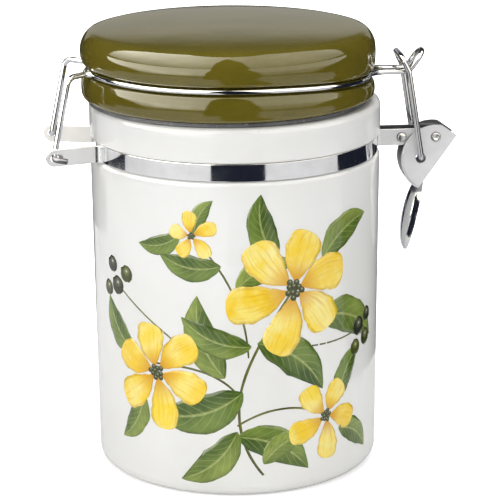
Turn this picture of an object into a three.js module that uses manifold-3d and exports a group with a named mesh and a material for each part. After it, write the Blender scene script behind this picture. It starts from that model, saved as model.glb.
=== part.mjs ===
// Dry goods canister: a glazed jar whose domed lid is held by a wire at one side and a lever latch at the other.
// Millimetres, +Z up. The origin is the middle of the jar's base, the hinge lies at -X and the latch at +X.
import * as THREE from 'three';
import { mergeVertices } from 'three/addons/utils/BufferGeometryUtils.js';
import Module from 'manifold-3d';

// Jar
const JAR_RADIUS = 50; // outer radius at the shoulder
const JAR_DRAFT = 1; // radius lost from the shoulder down to the base
const JAR_WALL = 5.4;
const JAR_FLOOR = 7;
const SHOULDER_HEIGHT = 110.2; // base to the lower edge of the neck groove
const SHOULDER_ROUND = 1.5;
const BASE_ROUND = 4.5;
const FLOOR_ROUND = 4;
const RIM_HEIGHT = 11.7; // neck groove to the top of the rim
const RIM_PROUD = 0.2; // how far the rim stands out past the shoulder
const RIM_ROUND = 2;
const LIP_ROUND = 1.5; // inner edge of the rim

// Neck straps, one round each half of the neck groove
const STRAP_WIDTH = 5.8;
const STRAP_THICKNESS = 0.7;
const STRAP_SINK = 0.75; // depth of the strap's outer face below the shoulder
const STRAP_PLAY = 0.3; // gap round the strap in its groove
const EAR_BEND = 3; // bend radius where a strap turns out into its hinge ear
const BRACKET_BEND = 1.6; // bend radius where a strap turns out into the latch bracket

// Hinge
const HINGE_REACH = 12.8; // hinge axis beyond the jar's wall
const HINGE_SPAN = 38.8; // between the ears' mid-planes at the hinge axis
const EAR_SPLAY = 16; // degrees by which each ear spreads outwards
const WIRE_CLEARANCE = 0.4; // between a wire and the sheet that it passes

// Lid
const LID_OVERHANG = 0.65; // lid radius beyond the shoulder
const LID_SETBACK = 2.2; // offset of the lid towards the hinge
const LOWER_TIER = 8.85;
const UPPER_TIER = 10.85;
const LID_CROWN = 1.8;
const LID_ROOF = 7; // thickness under the crown
const LID_HOLLOW_ROUND = 5;
const PLUG_DEPTH = 4.1; // reach of the lid's plug below the rim
const PLUG_WALL = 3.5;
const PLUG_CLEARANCE = 3.4; // room in which the plug swings out of the neck

// Gasket
const GASKET_THICKNESS = 1.4;
const GASKET_INSET = 2.3; // gasket edge inside the lid's edge
const GASKET_PLAY = 0.1; // above, below and beside the plug

// Lid wire
const LID_WIRE = 2; // diameter
const WIRE_SINK = 1.15; // depth of the wire's outer side in the lid's groove
const WIRE_SEAT = 0.3; // gap between the wire and the groove's floor
const GROOVE_PLAY = 0.45; // groove half width beyond the wire's radius
const WIRE_DROOP = 3.6; // how far the groove and its wire sink from the lid's middle to the nose
const LEG_LEAN = 5.4; // how far a hinge leg leans towards the jar
const LEG_BEND = 3.2;
const ENTRY_SPAN = 20; // between the places where the two legs enter the groove
const ENTRY_BEND = 2.6;
const STUB_BEND = 1.6; // bends at the hinge holes
const STUB_LENGTH = 4.4;
const STUB_TILT = 10; // degrees that the bent-over end points down
const NOSE_GAP = 6.6; // between the two arms of the nose
const NOSE_BEND = 8; // bend where the wire leaves the groove
const CROOK_REACH = 10.2; // where the nose turns up, beyond the jar's wall
const NOSE_RUN = 4.8; // crook to tip, outwards
const NOSE_RISE = 6.6; // crook to tip, upwards
const CROOK_BEND = 3;

// Latch bracket, formed by the outer ends of both straps
const BRACKET_WIDTH = 7;
const PIVOT_REACH = 19.7; // lever pivot beyond the jar's wall
const RIVET_HEAD = 3.4; // diameter
const RIVET_SHANK = 2; // diameter
const RIVET_DOME = 0.7; // head height
const RIVET_PLAY = 0.3; // between a shank and its hole
const HEAD_PLAY = 0.15; // under a rivet head
const SPACER_WALL = 0.6;
const TIE_CLEARANCE = 0.4; // between the tie rivet's head and the lever

// Lever
const LEVER_SHEET = 0.8;
const LEVER_PLAY = 0.3; // between the bracket and each cheek
const CHEEK_RADIUS = 12.2;
const PIVOT_INSET = 4.2; // pivot below the cheek's upper edge
const OPEN_EDGE_SLOPE = 54.2; // degrees of the cheek's straight edge
const OPEN_EDGE_INSET = 1.2; // straight edge beyond the cheek's centre
const END_TRIM = 1.2; // cut off the upper end of the cheek's straight edge
const WEB_CLEARANCE = 0.8; // below the bracket
const TONGUE_LENGTH = 23.4;
const TONGUE_WIDTH = 10.4;
const TONGUE_DEPTH = 3.8;
const TONGUE_OFFSET = 1.6; // its open face beyond the lever's tip
const TONGUE_LIP = 0.25; // its rim past the fullest section
const TONGUE_ROOT = 3.6; // how far the tongue reaches up into the channel
const TONGUE_LEAN = 12.5; // degrees towards the jar

// Closing wire
const CLOSING_WIRE = 2; // diameter
const HOOK_REACH = 7; // crossbar beyond the jar's wall
const HOOK_GAP = 3.8; // free height between the nose arms and the crossbar
const KNEE_REACH = 9.6; // where the legs bend towards the jar, beyond its wall
const KNEE_DROP = 5.4; // that bend below the crossbar
const KNEE_BEND = 6;
const SLOT_PLAY = 0.3; // gap at the tight side of the lever's hole
const SLOT_SLACK = 0.5; // offset of the wire in that hole
const EYE_BACK = 5.3; // lever hole from the pivot, towards the jar
const EYE_DROP = 7; // lever hole below the pivot
const EYE_REACH = 0.9; // wire ends past the cheeks
const CLOSING_BEND = 2.6;

// Mesh fineness
const TURN_STEPS = 56;
const WIRE_SIDES = 10;
const ARC_STEP = 6; // degrees along the ring and the straps
const BEND_STEP = 18; // degrees along a bend
const HOLE_STEPS = 20;

const wasm = await Module();
wasm.setup();

const rad = THREE.MathUtils.degToRad;
const vec2 = (x, y) => new THREE.Vector2(x, y);
const vec3 = (x, y, z) => new THREE.Vector3(x, y, z);

// Derived places
const shoulderZ = SHOULDER_HEIGHT;
const grooveTopZ = shoulderZ + STRAP_WIDTH + 2 * STRAP_PLAY;
const strapZ = (shoulderZ + grooveTopZ) / 2;
const rimZ = grooveTopZ + RIM_HEIGHT;
const strapRadius = JAR_RADIUS - STRAP_SINK - STRAP_THICKNESS / 2;
const neckRadius = strapRadius - STRAP_THICKNESS / 2 - STRAP_PLAY;
const boreRadius = JAR_RADIUS - JAR_WALL;
const hingeX = -(JAR_RADIUS + HINGE_REACH);

const lidRadius = JAR_RADIUS + LID_OVERHANG;
const lidX = -LID_SETBACK;
const lidZ = rimZ + GASKET_THICKNESS + 2 * GASKET_PLAY;
const wireRadius = LID_WIRE / 2;
const wireGroove = wireRadius + GROOVE_PLAY;
const ringRadius = lidRadius - WIRE_SINK - wireRadius;
const ringFloor = ringRadius - wireRadius - WIRE_SEAT;
const ringZ = lidZ + LOWER_TIER + wireGroove;
const plugRadius = boreRadius - LID_SETBACK - PLUG_CLEARANCE;

const pivotX = JAR_RADIUS + PIVOT_REACH;
const bracketHalf = BRACKET_WIDTH / 2;
const cheekInner = bracketHalf + LEVER_PLAY;
const cheekOuter = cheekInner + LEVER_SHEET;
const cheekDrop = CHEEK_RADIUS - PIVOT_INSET;
const cheekZ = strapZ - cheekDrop;
const tieX = pivotX - Math.sqrt((CHEEK_RADIUS + RIVET_HEAD / 2 + TIE_CLEARANCE) ** 2 - cheekDrop ** 2);

const ringEnd = lidX + ringRadius;
const noseZ = ringZ - WIRE_DROOP;
const closingRadius = CLOSING_WIRE / 2;
const hook = vec2(JAR_RADIUS + HOOK_REACH, noseZ + wireRadius + HOOK_GAP + closingRadius);
const eye = vec2(pivotX - EYE_BACK, strapZ - EYE_DROP);
const closingHalf = cheekOuter + HEAD_PLAY + RIVET_DOME + WIRE_CLEARANCE + closingRadius;

// How far the wire and its groove have sunk at a place along X
function droop(x) {
  return WIRE_DROOP * THREE.MathUtils.clamp(x / ringEnd, 0, 1) ** 2;
}

// Points of an arc in a plane, from one angle to another in degrees
function arc(cx, cy, radius, from, to, step) {
  const count = Math.max(1, Math.ceil(Math.abs(to - from) / step));
  return Array.from({ length: count + 1 }, (_, i) => {
    const a = rad(from + ((to - from) * i) / count);
    return vec2(cx + radius * Math.cos(a), cy + radius * Math.sin(a));
  });
}

// Rounded route through corner points: each entry is [point, bend radius], with 0 for a point kept as it is
function route(corners) {
  const points = [];
  corners.forEach(([corner, bend], i) => {
    if (!bend) {
      points.push(corner.clone());
      return;
    }
    const before = corners[i - 1][0].clone().sub(corner).normalize();
    const after = corners[i + 1][0].clone().sub(corner).normalize();
    const half = before.angleTo(after) / 2;
    const middle = before.clone().add(after).normalize();
    const centre = corner.clone().addScaledVector(middle, bend / Math.sin(half));
    const start = corner.clone().addScaledVector(before, bend / Math.tan(half)).sub(centre);
    const end = corner.clone().addScaledVector(after, bend / Math.tan(half)).sub(centre);
    const sweep = start.angleTo(end);
    const axis = start.clone().cross(end).normalize();
    const count = Math.ceil(sweep / rad(BEND_STEP));
    for (let k = 0; k <= count; k++) {
      points.push(start.clone().applyAxisAngle(axis, (sweep * k) / count).add(centre));
    }
  });
  return points;
}

// A curve that passes through given points, one step from each to the next
class Polyline extends THREE.Curve {
  constructor(points) {
    super();
    this.points = points;
  }
  getPointAt(u, target = vec3(0, 0, 0)) {
    const place = u * (this.points.length - 1);
    const i = Math.min(Math.floor(place), this.points.length - 2);
    return target.copy(this.points[i]).lerp(this.points[i + 1], place - i);
  }
  getTangentAt(u, target = vec3(0, 0, 0)) {
    const last = this.points.length - 1;
    const i = Math.round(u * last);
    const into = this.points[Math.min(i, last - 1) + 1].clone().sub(this.points[Math.min(i, last - 1)]);
    const from = this.points[Math.max(i, 1)].clone().sub(this.points[Math.max(i, 1) - 1]);
    return target.copy(into.normalize()).add(from.normalize()).normalize();
  }
}

function wire(points, radius) {
  const section = new THREE.Shape(arc(0, 0, radius, 0, 360, 360 / WIRE_SIDES).slice(0, -1));
  return new THREE.ExtrudeGeometry(section, {
    steps: points.length - 1,
    extrudePath: new Polyline(points),
    bevelEnabled: false,
  });
}

// A solid turned about Z from its half profile of [radius, height] points
function turned(profile) {
  const points = profile.map(([r, z]) => vec2(r, z));
  return new THREE.LatheGeometry(points, TURN_STEPS).rotateX(Math.PI / 2);
}

// The same about the Y axis, for rivets and spacers
function turnedAlongY(profile) {
  return new THREE.LatheGeometry(profile.map(([r, y]) => vec2(r, y)), HOLE_STEPS);
}

// A flat outline in X and Z made thick from one Y to another
function plate(outline, fromY, toY) {
  const geometry = new THREE.ExtrudeGeometry(new THREE.Shape(outline), {
    depth: toY - fromY,
    bevelEnabled: false,
  });
  return geometry.rotateX(Math.PI / 2).translate(0, toY, 0);
}

function pin(x, z, radius, length) {
  return new THREE.CylinderGeometry(radius, radius, length, HOLE_STEPS).translate(x, 0, z);
}

function toSolid(geometry) {
  const bare = geometry.clone();
  bare.deleteAttribute('normal');
  bare.deleteAttribute('uv');
  const merged = mergeVertices(bare, 1e-4);
  return new wasm.Manifold(new wasm.Mesh({
    numProp: 3,
    vertProperties: new Float32Array(merged.attributes.position.array),
    triVerts: new Uint32Array(merged.index.array),
  }));
}

function toGeometry(solid) {
  const mesh = solid.getMesh();
  const geometry = new THREE.BufferGeometry();
  geometry.setAttribute('position', new THREE.BufferAttribute(mesh.vertProperties, 3));
  geometry.setIndex(new THREE.BufferAttribute(mesh.triVerts, 1));
  geometry.computeVertexNormals();
  return geometry;
}

function join(geometries) {
  return geometries.map(toSolid).reduce((whole, piece) => whole.add(piece));
}

function cut(solid, geometries) {
  return geometries.map(toSolid).reduce((whole, piece) => whole.subtract(piece), solid);
}

// Jar: rounded base, drafted wall, neck groove for the straps and a rounded rim
function jarGeometry() {
  const baseRadius = JAR_RADIUS - JAR_DRAFT;
  const rimRadius = JAR_RADIUS + RIM_PROUD;
  const boreBase = boreRadius - JAR_DRAFT;
  const pairs = (points) => points.map((p) => [p.x, p.y]);
  return turned([
    [0, 0],
    ...pairs(arc(baseRadius - BASE_ROUND, BASE_ROUND, BASE_ROUND, -90, 0, 22.5)),
    ...pairs(arc(JAR_RADIUS - SHOULDER_ROUND, shoulderZ - SHOULDER_ROUND, SHOULDER_ROUND, 0, 90, 30)),
    [neckRadius, shoulderZ],
    [neckRadius, grooveTopZ],
    ...pairs(arc(rimRadius - RIM_ROUND / 2, grooveTopZ + RIM_ROUND / 2, RIM_ROUND / 2, -90, 0, 45)),
    ...pairs(arc(rimRadius - RIM_ROUND, rimZ - RIM_ROUND, RIM_ROUND, 0, 90, 22.5)),
    ...pairs(arc(boreRadius + LIP_ROUND, rimZ - LIP_ROUND, LIP_ROUND, 90, 180, 30)),
    ...pairs(arc(boreBase - FLOOR_ROUND, JAR_FLOOR + FLOOR_ROUND, FLOOR_ROUND, 0, -90, 30)),
    [0, JAR_FLOOR],
  ]);
}

// Lid: two rounded tiers with the wire's groove between them, hollow underneath, with a plug for the neck.
// The groove sinks towards the nose, and the tiers above and below it take that up.
function lidGeometry() {
  const tierZ = lidZ + LOWER_TIER;
  const upperZ = tierZ + 2 * wireGroove;
  const edgeZ = upperZ + UPPER_TIER;
  const mouth = ringFloor + wireGroove;
  const hollow = plugRadius - PLUG_WALL;
  const hollowZ = edgeZ + LID_CROWN - LID_ROOF;
  const pairs = (points) => points.map((p) => [p.x, p.y]);
  const shell = turned([
    [0, hollowZ],
    ...pairs(arc(hollow - LID_HOLLOW_ROUND, hollowZ - LID_HOLLOW_ROUND, LID_HOLLOW_ROUND, 90, 0, 30)),
    [hollow, rimZ - PLUG_DEPTH],
    [plugRadius, rimZ - PLUG_DEPTH],
    [plugRadius, lidZ],
    [lidRadius - GASKET_INSET, lidZ],
    [lidRadius - LOWER_TIER * 0.147, lidZ + LOWER_TIER * 0.034],
    [lidRadius - LOWER_TIER * 0.068, lidZ + LOWER_TIER * 0.124],
    [lidRadius - LOWER_TIER * 0.034, lidZ + LOWER_TIER * 0.24],
    [lidRadius - LOWER_TIER * 0.023, lidZ + LOWER_TIER * 0.5],
    [lidRadius - LOWER_TIER * 0.04, tierZ - LOWER_TIER * 0.17],
    [lidRadius - LOWER_TIER * 0.079, tierZ - LOWER_TIER * 0.056],
    [lidRadius - LOWER_TIER * 0.141, tierZ - LOWER_TIER * 0.009],
    ...pairs(arc(mouth, ringZ, wireGroove, 260, 100, 20)),
    [lidRadius - UPPER_TIER * 0.135, upperZ + UPPER_TIER * 0.014],
    [lidRadius - UPPER_TIER * 0.06, upperZ + UPPER_TIER * 0.083],
    [lidRadius - UPPER_TIER * 0.014, upperZ + UPPER_TIER * 0.2],
    [lidRadius, upperZ + UPPER_TIER * 0.42],
    [lidRadius - UPPER_TIER * 0.03, upperZ + UPPER_TIER * 0.615],
    [lidRadius - UPPER_TIER * 0.115, upperZ + UPPER_TIER * 0.806],
    [lidRadius - UPPER_TIER * 0.229, upperZ + UPPER_TIER * 0.948],
    [lidRadius - UPPER_TIER * 0.33, edgeZ],
    [lidRadius - UPPER_TIER * 0.65, edgeZ + LID_CROWN * 0.3],
    [lidRadius * 0.6, edgeZ + LID_CROWN * 0.7],
    [0, edgeZ + LID_CROWN],
  ]);
  const places = shell.attributes.position;
  const fadeZ = upperZ + UPPER_TIER * 0.6;
  for (let i = 0; i < places.count; i++) {
    const [x, y, z] = [places.getX(i), places.getY(i), places.getZ(i)];
    const below = (z - lidZ) / (tierZ - lidZ);
    const above = (fadeZ - z) / (fadeZ - upperZ);
    const share = Math.hypot(x, y) > plugRadius + GASKET_PLAY ? Math.min(1, below, above) : 0;
    places.setZ(i, z - droop(x + lidX) * Math.max(0, share));
  }
  return shell;
}

// Gasket: a flat ring round the plug, between the rim and the lid
function gasketGeometry() {
  const inner = plugRadius + GASKET_PLAY + WIRE_CLEARANCE;
  const outer = lidRadius - GASKET_INSET;
  const low = rimZ + GASKET_PLAY;
  const high = low + GASKET_THICKNESS;
  const round = GASKET_THICKNESS / 4;
  return turned([
    [inner, low],
    [outer - round, low],
    [outer, low + round],
    [outer, high - round],
    [outer - round, high],
    [inner, high],
    [inner, low],
  ]);
}

// Strap: half a band round the neck, with a splayed hinge ear at -X and a bracket arm at +X
function strapGeometry(side) {
  const splay = rad(EAR_SPLAY);
  const inward = vec2(Math.cos(splay), Math.sin(splay));
  const earEnd = vec2(hingeX, -HINGE_SPAN / 2);
  const along = earEnd.dot(inward);
  const reach = -along - Math.sqrt(along ** 2 - earEnd.lengthSq() + strapRadius ** 2);
  const earRoot = earEnd.clone().addScaledVector(inward, reach);
  const armY = -(bracketHalf - STRAP_THICKNESS / 2);
  const armRoot = vec2(Math.sqrt(strapRadius ** 2 - armY ** 2), armY);
  const from = 180 + THREE.MathUtils.radToDeg(Math.asin(-earRoot.y / strapRadius));
  const to = 360 + THREE.MathUtils.radToDeg(Math.asin(armY / strapRadius));
  const flat = (p) => vec3(p.x, p.y, 0);
  const middle = route([
    [flat(earEnd), 0],
    [flat(earRoot), EAR_BEND],
    ...arc(0, 0, strapRadius, from + ARC_STEP, to - ARC_STEP, ARC_STEP).map((p) => [flat(p), 0]),
    [flat(armRoot), BRACKET_BEND],
    [vec3(pivotX, armY, 0), 0],
  ]);
  const path = new Polyline(middle);
  const offset = (shift) => middle.map((p, i) => {
    const t = path.getTangentAt(i / (middle.length - 1));
    const next = middle[Math.min(i + 1, middle.length - 1)].clone().sub(middle[Math.min(i, middle.length - 2)]);
    const spread = shift / Math.max(0.5, next.normalize().dot(t));
    return vec2(p.x - t.y * spread, (p.y + t.x * spread) * side);
  });
  const outline = [...offset(STRAP_THICKNESS / 2), ...offset(-STRAP_THICKNESS / 2).reverse()];
  const band = new THREE.ExtrudeGeometry(new THREE.Shape(outline), { depth: STRAP_WIDTH, bevelEnabled: false });
  band.translate(0, 0, strapZ - STRAP_WIDTH / 2);
  const disc = () => new THREE.CylinderGeometry(STRAP_WIDTH / 2, STRAP_WIDTH / 2, STRAP_THICKNESS, 2 * HOLE_STEPS);
  const earDisc = disc().rotateZ(splay * side).translate(earEnd.x, earEnd.y * side, strapZ);
  const armDisc = disc().translate(pivotX, armY * side, strapZ);
  const far = 2 * (HINGE_SPAN + BRACKET_WIDTH);
  return toGeometry(cut(join([band, earDisc, armDisc]), [
    pin(hingeX, strapZ, wireRadius + WIRE_CLEARANCE, far),
    pin(tieX, strapZ, RIVET_SHANK / 2 + RIVET_PLAY, far),
    pin(pivotX, strapZ, RIVET_SHANK / 2 + RIVET_PLAY, far),
  ]));
}

// Rivet with a round head at each end; a hollow one shows a dimple in its heads
function rivetGeometry(grip, hollow) {
  const shank = RIVET_SHANK / 2;
  const head = RIVET_HEAD / 2;
  const seat = grip / 2 + HEAD_PLAY;
  const top = seat + RIVET_DOME;
  const face = hollow
    ? [[head, seat + RIVET_DOME * 0.4], [head * 0.8, top], [head * 0.5, top], [head * 0.35, top - RIVET_DOME * 0.6]]
    : [[head, seat + RIVET_DOME * 0.25], [head * 0.8, seat + RIVET_DOME * 0.7], [head * 0.4, top]];
  const crown = hollow ? top - RIVET_DOME * 0.6 : top;
  const half = [[shank, seat], [head, seat], ...face, [0, crown]];
  const mirrored = half.map(([r, y]) => [r, -y]).reverse();
  return turnedAlongY([...mirrored, ...half]);
}

// Tube that keeps the two bracket arms apart on the tie rivet
function spacerGeometry() {
  const inner = RIVET_SHANK / 2 + RIVET_PLAY;
  const outer = inner + SPACER_WALL;
  const half = bracketHalf - STRAP_THICKNESS - HEAD_PLAY;
  return turnedAlongY([[inner, -half], [outer, -half], [outer, half], [inner, half], [inner, -half]]);
}

// Lid wire: one length from the front hinge hole, round the groove, out to the nose and back to the rear hole
function lidWireGeometry() {
  const sheet = STRAP_THICKNESS / 2 / Math.cos(rad(EAR_SPLAY));
  const slant = Math.tan(rad(EAR_SPLAY));
  const lean = (LEG_LEAN * STRAP_WIDTH) / 2 / (ringZ - strapZ);
  const entryY = ENTRY_SPAN / 2;
  const legY = HINGE_SPAN / 2 - sheet - (wireRadius + lean) * slant - WIRE_CLEARANCE - wireRadius;
  const stubY = HINGE_SPAN / 2 + sheet + (STRAP_WIDTH / 2) * slant + WIRE_CLEARANCE + wireRadius;
  const noseY = NOSE_GAP / 2;
  const entryX = lidX - Math.sqrt(ringRadius ** 2 - entryY ** 2);
  const noseRoot = lidX + Math.sqrt(ringRadius ** 2 - noseY ** 2);
  const from = 180 + THREE.MathUtils.radToDeg(Math.asin((entryY + 2 * ENTRY_BEND) / ringRadius));
  const to = 360 - THREE.MathUtils.radToDeg(Math.asin((noseY + 1.1 * NOSE_BEND) / ringRadius));
  const crookX = JAR_RADIUS + CROOK_REACH;
  const tilt = rad(STUB_TILT);
  const stubEnd = vec3(hingeX + STUB_LENGTH * Math.cos(tilt), -stubY, strapZ - STUB_LENGTH * Math.sin(tilt));
  const ring = arc(lidX, 0, ringRadius, from, to, ARC_STEP);
  const front = [
    [stubEnd, 0],
    [vec3(hingeX, -stubY, strapZ), STUB_BEND],
    [vec3(hingeX, -legY, strapZ), STUB_BEND],
    [vec3(hingeX + LEG_LEAN, -legY, ringZ), LEG_BEND],
    [vec3(entryX, -entryY, ringZ), ENTRY_BEND],
    ...ring.map((p) => [vec3(p.x, p.y, ringZ - droop(p.x)), 0]),
    [vec3(noseRoot, -noseY, noseZ), NOSE_BEND],
    [vec3(crookX, -noseY, noseZ), CROOK_BEND],
    [vec3(crookX + NOSE_RUN, -noseY, noseZ + NOSE_RISE), noseY * 0.98],
  ];
  const back = front.map(([p, bend]) => [vec3(p.x, -p.y, p.z), bend]).reverse();
  return wire(route([...front, ...back]), wireRadius);
}

// Lever: two round cheeks joined by a web along their outer curve, which runs on into a dished finger tongue
function leverGeometry() {
  const edge = rad(OPEN_EDGE_SLOPE);
  const place = (u, v) => vec2(
    pivotX + u * Math.cos(edge) - v * Math.sin(edge),
    cheekZ + u * Math.sin(edge) + v * Math.cos(edge),
  );
  const tipU = -Math.sqrt(CHEEK_RADIUS ** 2 - OPEN_EDGE_INSET ** 2);
  const endU = CHEEK_RADIUS - END_TRIM;
  const endV = Math.sqrt(CHEEK_RADIUS ** 2 - endU ** 2);
  const tipAngle = OPEN_EDGE_SLOPE + 180 + THREE.MathUtils.radToDeg(Math.asin(OPEN_EDGE_INSET / CHEEK_RADIUS));
  const endAngle = OPEN_EDGE_SLOPE + THREE.MathUtils.radToDeg(Math.atan2(endV, endU));
  const outline = [
    place(endU, -OPEN_EDGE_INSET),
    ...arc(pivotX, cheekZ, CHEEK_RADIUS, endAngle, tipAngle, ARC_STEP),
  ];
  const webTop = cheekDrop - STRAP_WIDTH / 2 - WEB_CLEARANCE;
  const webAngle = 180 - THREE.MathUtils.radToDeg(Math.asin(webTop / CHEEK_RADIUS));
  const web = [
    ...arc(pivotX, cheekZ, CHEEK_RADIUS, webAngle, tipAngle, ARC_STEP),
    ...arc(pivotX, cheekZ, CHEEK_RADIUS - LEVER_SHEET, tipAngle, webAngle, ARC_STEP),
  ];
  const tip = place(tipU, -OPEN_EDGE_INSET).add(vec2(TONGUE_OFFSET, 0));
  const lean = rad(TONGUE_LEAN);
  const half = (TONGUE_LENGTH + TONGUE_ROOT) / 2;
  const middle = half - TONGUE_ROOT;
  const seat = (geometry) => geometry
    .rotateY(lean)
    .translate(tip.x - middle * Math.sin(lean), 0, tip.y - middle * Math.cos(lean));
  const dish = (shell) => new THREE.SphereGeometry(1, 24, 14)
    .rotateY(Math.PI / 24)
    .rotateX(Math.PI / 2)
    .scale(TONGUE_DEPTH - shell, TONGUE_WIDTH / 2 - shell, half - shell);
  const open = new THREE.BoxGeometry(2 * TONGUE_DEPTH, 2 * TONGUE_WIDTH, 4 * half)
    .translate(TONGUE_DEPTH + TONGUE_LIP, 0, 0);
  const tongue = cut(toSolid(seat(dish(0))), [seat(dish(LEVER_SHEET)), seat(open)]);
  const leg = hook.clone().sub(eye).normalize();
  const hole = eye.clone().addScaledVector(leg, -SLOT_SLACK);
  const channel = join([
    plate(outline, -cheekOuter, -cheekInner),
    plate(outline, cheekInner, cheekOuter),
    plate(web, -cheekOuter, cheekOuter),
  ]);
  return toGeometry(cut(channel.add(tongue), [
    pin(pivotX, strapZ, RIVET_SHANK / 2 + RIVET_PLAY, 4 * cheekOuter),
    pin(hole.x, hole.y, closingRadius + SLOT_SLACK + SLOT_PLAY, 4 * cheekOuter),
  ]));
}

// Closing wire: a loop whose ends turn inwards through the lever's cheeks and whose crossbar lies over the nose
function closingWireGeometry() {
  const endY = cheekInner - EYE_REACH;
  const front = [
    [vec3(eye.x, -endY, eye.y), 0],
    [vec3(eye.x, -closingHalf, eye.y), closingRadius * 1.3],
    [vec3(JAR_RADIUS + KNEE_REACH, -closingHalf, hook.y - KNEE_DROP), KNEE_BEND],
    [vec3(hook.x, -closingHalf, hook.y), CLOSING_BEND],
  ];
  const back = front.map(([p, bend]) => [vec3(p.x, -p.y, p.z), bend]).reverse();
  return wire(route([...front, ...back]), closingRadius);
}

const whiteGlaze = new THREE.MeshStandardMaterial({ color: 0xf3f3f0, roughness: 0.12, metalness: 0 });
const oliveGlaze = new THREE.MeshStandardMaterial({ color: 0x786f2b, roughness: 0.14, metalness: 0 });
const steel = new THREE.MeshStandardMaterial({ color: 0xd2d4d6, roughness: 0.16, metalness: 1 });
const rubber = new THREE.MeshStandardMaterial({ color: 0x8f9093, roughness: 0.7, metalness: 0 });

function piece(name, geometry, material, x = 0, z = 0) {
  const mesh = new THREE.Mesh(geometry, material);
  mesh.name = name;
  mesh.position.set(x, 0, z);
  return mesh;
}

const canister = new THREE.Group();
canister.add(
  piece('jar', jarGeometry(), whiteGlaze),
  piece('strap_front', strapGeometry(1), steel),
  piece('strap_back', strapGeometry(-1), steel),
  piece('tie_rivet', rivetGeometry(BRACKET_WIDTH, false), steel, tieX, strapZ),
  piece('tie_spacer', spacerGeometry(), steel, tieX, strapZ),
  piece('lever_rivet', rivetGeometry(2 * cheekOuter, true), steel, pivotX, strapZ),
  piece('lid', lidGeometry(), oliveGlaze, lidX),
  piece('lid_gasket', gasketGeometry(), rubber, lidX),
  piece('lid_wire', lidWireGeometry(), steel),
  piece('lever', leverGeometry(), steel),
  piece('closing_wire', closingWireGeometry(), steel),
);

export default canister;
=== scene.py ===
# Dry goods canister: glazed jar and lid, rubber gasket, steel straps, wires and lever latch.
# The shapes repeat the CAD model's sizes, written in millimetres and made finer and softer at the edges.
import math
from functools import partial, partialmethod

import bmesh
import bpy
import numpy as np
from mathutils import Matrix, Vector


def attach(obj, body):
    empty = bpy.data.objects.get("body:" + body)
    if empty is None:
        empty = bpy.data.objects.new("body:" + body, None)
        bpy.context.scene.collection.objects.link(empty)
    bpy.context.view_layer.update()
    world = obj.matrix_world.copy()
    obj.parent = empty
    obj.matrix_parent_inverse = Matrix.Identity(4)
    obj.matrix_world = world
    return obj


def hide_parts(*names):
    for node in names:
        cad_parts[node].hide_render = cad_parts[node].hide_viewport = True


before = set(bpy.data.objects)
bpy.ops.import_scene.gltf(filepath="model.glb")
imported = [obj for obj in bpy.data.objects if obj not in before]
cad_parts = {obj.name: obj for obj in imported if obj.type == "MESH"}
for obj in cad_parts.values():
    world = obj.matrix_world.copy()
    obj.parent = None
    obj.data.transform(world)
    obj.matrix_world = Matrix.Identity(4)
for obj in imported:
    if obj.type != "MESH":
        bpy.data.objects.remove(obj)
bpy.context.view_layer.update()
scene = bpy.context.scene
scene.view_settings.view_transform = "Standard"

MM = 0.001
BEND_STEP = 6.0

# Jar
JAR_RADIUS = 50.0
BASE_RADIUS = 49.0
BASE_ROUND = 4.5
SHOULDER_Z = 110.2
SHOULDER_ROUND = 1.5
NECK_RADIUS = 48.25
GROOVE_TOP_Z = 116.6
RIM_RADIUS = 50.2
RIM_Z = 128.3
BORE_RADIUS = 44.6
FLOOR_Z = 7.0
WALL_TOP = SHOULDER_Z - SHOULDER_ROUND

# Lid, gasket and the wire round them
LID_X = -2.2
LID_RADIUS = 50.65
LID_Z = 129.9
LOWER_TIER = 8.85
UPPER_TIER = 10.85
LID_CROWN = 1.8
GROOVE_HALF = 1.45
RING_RADIUS = 48.5
RING_Z = LID_Z + LOWER_TIER + GROOVE_HALF
PLUG_RADIUS = 39.0
WIRE_DROOP = 3.6
RING_END = LID_X + RING_RADIUS
LID_TOP = LID_Z + LOWER_TIER + 2 * GROOVE_HALF + UPPER_TIER
GASKET_LOW = 128.4
GASKET_HIGH = 129.8
WIRE = 2.0
HOOK_LENGTH = 4.4
HOOK_TILT = 10.0
HOOK_Y = 22.0
LEG_Y = 17.18
LEG_LEAN = 5.4
NOSE_HALF = 3.3
NOSE_X = 60.2
NOSE_TIP_X = 65.0
NOSE_RISE = 6.6

# Straps and rivets
STRAP_RADIUS = 48.9
STRAP_Z = 113.4
STRAP_HALF = 2.9
STRAP_SHEET = 0.7
HINGE_X = -62.8
EAR_Y = 19.4
EAR_SPLAY = 16.0
ARM_Y = 3.15
PIVOT_X = 69.7
TIE_X = 57.85
HINGE_HOLE = 1.4
RIVET_HOLE = 1.3

# Lever and closing wire
CHEEK_RADIUS = 12.2
CHEEK_Z = 105.4
CHEEK_OUTER = 4.6
LEVER_SHEET = 0.8
OPEN_EDGE = math.radians(54.2)
EYE_X = 64.4
EYE_Z = 106.4
EYE_HOLE = 1.8
TONGUE_TOP = 93.25
CLOSING_Y = 6.85
CLOSING_KNEE = (59.6, 137.0)
CLOSING_TOP = (57.0, 142.4)


def droop(x):
    """How far the groove and its wire have sunk at a place along X."""
    return WIRE_DROOP * np.clip(x / RING_END, 0, 1) ** 2


def arc(cx, cz, radius, start, end, step):
    """Points of an arc from one angle to another, in degrees."""
    count = max(1, math.ceil(abs(end - start) / step))
    angles = np.radians(np.linspace(start, end, count + 1))
    return [(cx + radius * math.cos(a), cz + radius * math.sin(a)) for a in angles]


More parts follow.
